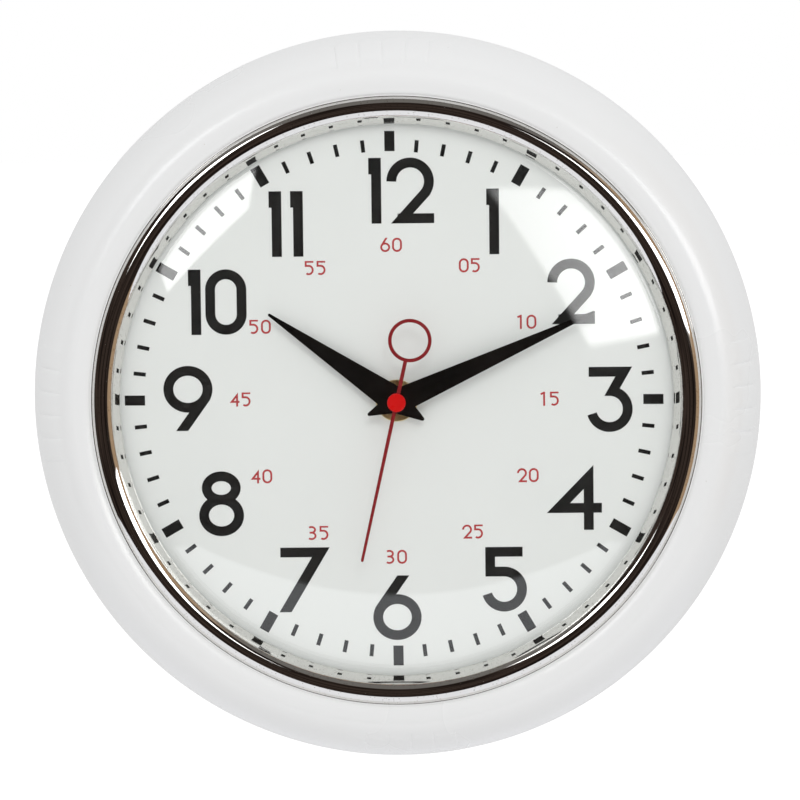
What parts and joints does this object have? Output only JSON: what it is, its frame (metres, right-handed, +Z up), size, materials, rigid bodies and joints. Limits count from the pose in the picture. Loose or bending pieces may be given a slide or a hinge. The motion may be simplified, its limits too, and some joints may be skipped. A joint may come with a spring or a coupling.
{
  "type": "wall clock",
  "caption": "Round wall clock with a white pressed case, chromed bezel, domed glass, printed dial, lance hands, ring-tailed second hand and a battery quartz movement.",
  "frame": {"origin": "the nail that the clock hangs on: the centre of the round top end of the keyhole slot, in the plane of the wall", "axes": "+Z up, +X to the right as the clock is read, +Y into the wall; the face looks along -Y"},
  "size_m": [0.2414, 0.052, 0.2414],
  "materials": {
    "white_enamel": "gloss baked enamel on pressed steel",
    "chrome": "bright plated steel",
    "glass": "clear polished glass",
    "clear_rubber": "translucent silicone",
    "dial_white": "matte white print on sheet metal",
    "hand_black": "black paint on thin aluminium",
    "hand_red": "red paint on thin aluminium",
    "black_plastic": "fine-grained moulding",
    "black_rubber": "matte",
    "zinc_steel": "zinc plated",
    "brass": "turned and bright",
    "copper": "enamelled copper wire",
    "magnet": "sintered ferrite",
    "acetal": "natural acetal",
    "circuit_green": "green lacquered board",
    "battery_wrap": "printed wrap on a can"
  },
  "bodies": {
    "clock": {"case_shell": "white_enamel", "bezel_ring": "chrome", "lens": "glass", "lens_gasket": "clear_rubber", "dial_plate": "dial_white", "dial_carrier": "black_plastic", "rear_cover": "black_plastic", "hanger_plate": "zinc_steel", "movement_base": "black_plastic", "movement_cover": "black_plastic", "middle_plate": "acetal", "train_bridge": "acetal", "hand_bushing": "brass", "rubber_washer": "black_rubber", "brass_washer": "brass", "hand_nut": "brass", "coil_bobbin": "acetal", "coil_winding": "copper", "coil_core": "zinc_steel", "stator_plate": "zinc_steel", "circuit_board": "circuit_green", "driver_chip": "black_plastic", "quartz_crystal": "zinc_steel", "positive_contact": "brass", "negative_spring": "zinc_steel", "bezel_screw_1": "zinc_steel", "cover_screw_1": "zinc_steel", "bezel_screw_2": "zinc_steel", "cover_screw_2": "zinc_steel", "bezel_screw_3": "zinc_steel", "cover_screw_3": "zinc_steel", "bezel_screw_4": "zinc_steel", "cover_screw_4": "zinc_steel", "hanger_rivet_1": "zinc_steel", "hanger_rivet_2": "zinc_steel"},
    "battery": {"battery": "battery_wrap"},
    "minute_work": {"cannon_pinion": "brass", "minute_hand": "hand_black"},
    "hour_work": {"hour_wheel": "acetal", "hour_hand": "hand_black"},
    "motion_work": {"motion_wheel": "acetal"},
    "setting_work": {"setting_knob": "acetal"},
    "seconds_work": {"seconds_wheel": "acetal", "second_hand": "hand_red", "second_hand_cap": "hand_red"},
    "centre_work": {"centre_wheel": "acetal"},
    "third_work": {"third_wheel": "acetal"},
    "intermediate_work": {"intermediate_wheel": "acetal"},
    "rotor_work": {"rotor_pinion": "acetal", "rotor_magnet": "magnet"}
  },
  "joints": [
    {"name": "minute_hand_turn", "type": "hinge", "parent": "clock", "child": "minute_work", "pos_m": [0, 0, -0.086], "axis": [0, 1, 0], "continuous": true},
    {"name": "hour_hand_turn", "type": "hinge", "parent": "clock", "child": "hour_work", "pos_m": [0, 0, -0.086], "axis": [0, 1, 0], "continuous": true},
    {"name": "motion_wheel_turn", "type": "hinge", "parent": "clock", "child": "motion_work", "pos_m": [0.00786, 0, -0.08049], "axis": [0, 1, 0], "continuous": true},
    {"name": "setting_knob_turn", "type": "hinge", "parent": "clock", "child": "setting_work", "pos_m": [0.01266, 0, -0.07218], "axis": [0, 1, 0], "continuous": true},
    {"name": "second_hand_turn", "type": "hinge", "parent": "clock", "child": "seconds_work", "pos_m": [0, 0, -0.086], "axis": [0, 1, 0], "continuous": true},
    {"name": "centre_wheel_turn", "type": "hinge", "parent": "clock", "child": "centre_work", "pos_m": [0, 0, -0.086], "axis": [0, 1, 0], "continuous": true},
    {"name": "third_wheel_turn", "type": "hinge", "parent": "clock", "child": "third_work", "pos_m": [-0.0105, 0, -0.086], "axis": [0, 1, 0], "continuous": true},
    {"name": "intermediate_wheel_turn", "type": "hinge", "parent": "clock", "child": "intermediate_work", "pos_m": [-0.00152, 0, -0.07738], "axis": [0, 1, 0], "continuous": true},
    {"name": "rotor_turn", "type": "hinge", "parent": "clock", "child": "rotor_work", "pos_m": [-0.00615, 0, -0.07187], "axis": [0, 1, 0], "continuous": true},
    {"name": "battery_slide", "type": "slide", "parent": "clock", "child": "battery", "axis": [0, 1, 0], "range_m": [0, 0.04]}
  ],
  "couplings": [
    {"joint": "hour_hand_turn", "follows": "minute_hand_turn", "ratio": 0.083333},
    {"joint": "motion_wheel_turn", "follows": "minute_hand_turn", "ratio": -0.33333},
    {"joint": "setting_knob_turn", "follows": "minute_hand_turn", "ratio": 1},
    {"joint": "centre_wheel_turn", "follows": "second_hand_turn", "ratio": 0.016667},
    {"joint": "third_wheel_turn", "follows": "second_hand_turn", "ratio": -0.13333},
    {"joint": "intermediate_wheel_turn", "follows": "second_hand_turn", "ratio": -6},
    {"joint": "rotor_turn", "follows": "second_hand_turn", "ratio": 30}
  ]
}
